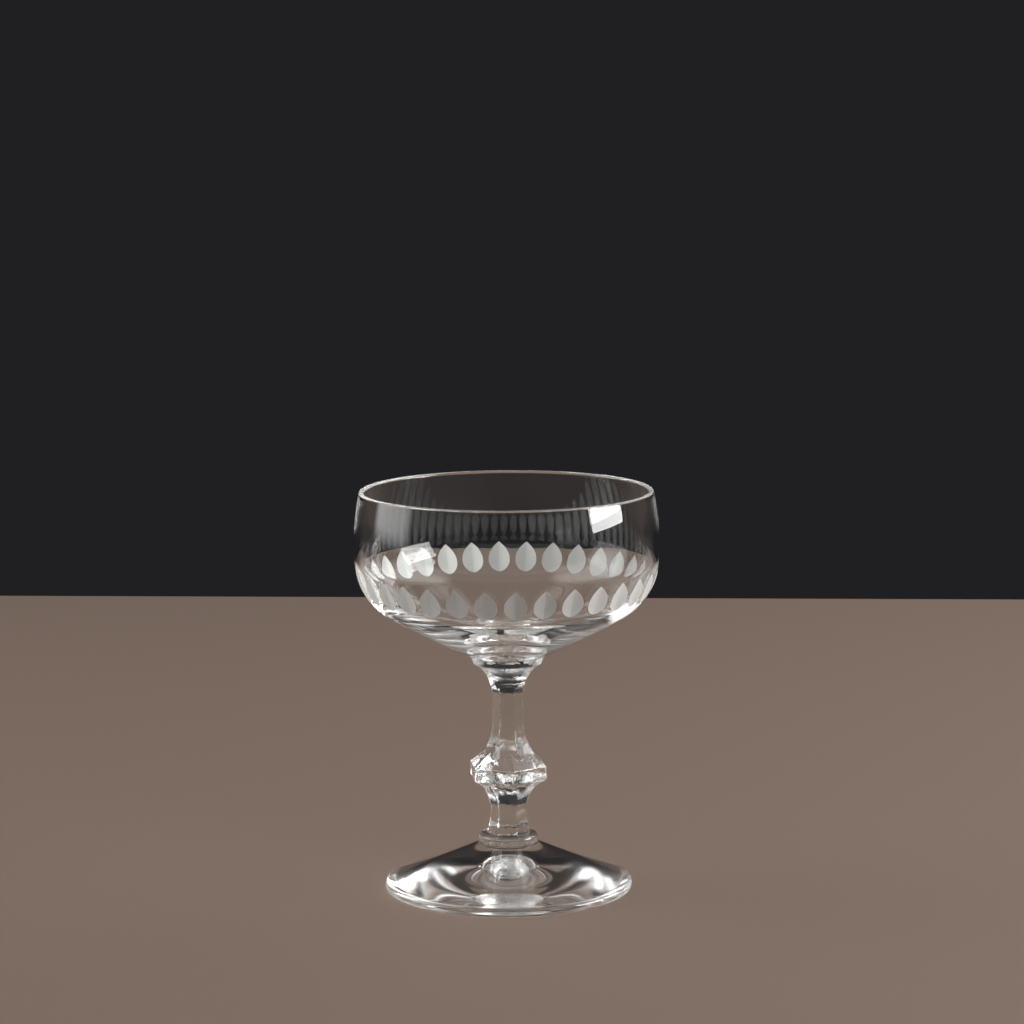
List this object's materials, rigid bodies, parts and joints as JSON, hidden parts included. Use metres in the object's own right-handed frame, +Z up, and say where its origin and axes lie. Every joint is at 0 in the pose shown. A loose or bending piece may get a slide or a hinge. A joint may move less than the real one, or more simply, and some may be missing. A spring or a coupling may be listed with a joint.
{
  "type": "coupe glass",
  "caption": "Clear stemmed coupe glass with a wide bowl, a row of frosted leaf cuts, a six-sided knopped stem and a conical disc foot.",
  "frame": {"origin": "centre of the foot, on the surface that the glass stands on", "axes": "+Z up along the axis of the glass; -Y towards the viewer of the reference view, +X to the viewer's right"},
  "size_m": [0.0904, 0.0904, 0.1203],
  "materials": {
    "clear_glass": "fire-polished clear glass, with wheel-cut leaves on the bowl left frosted"
  },
  "bodies": {
    "root": {"bowl": "clear_glass", "bowl_collar": "clear_glass", "stem": "clear_glass", "foot_collar": "clear_glass", "foot": "clear_glass"}
  },
  "joints": []
}
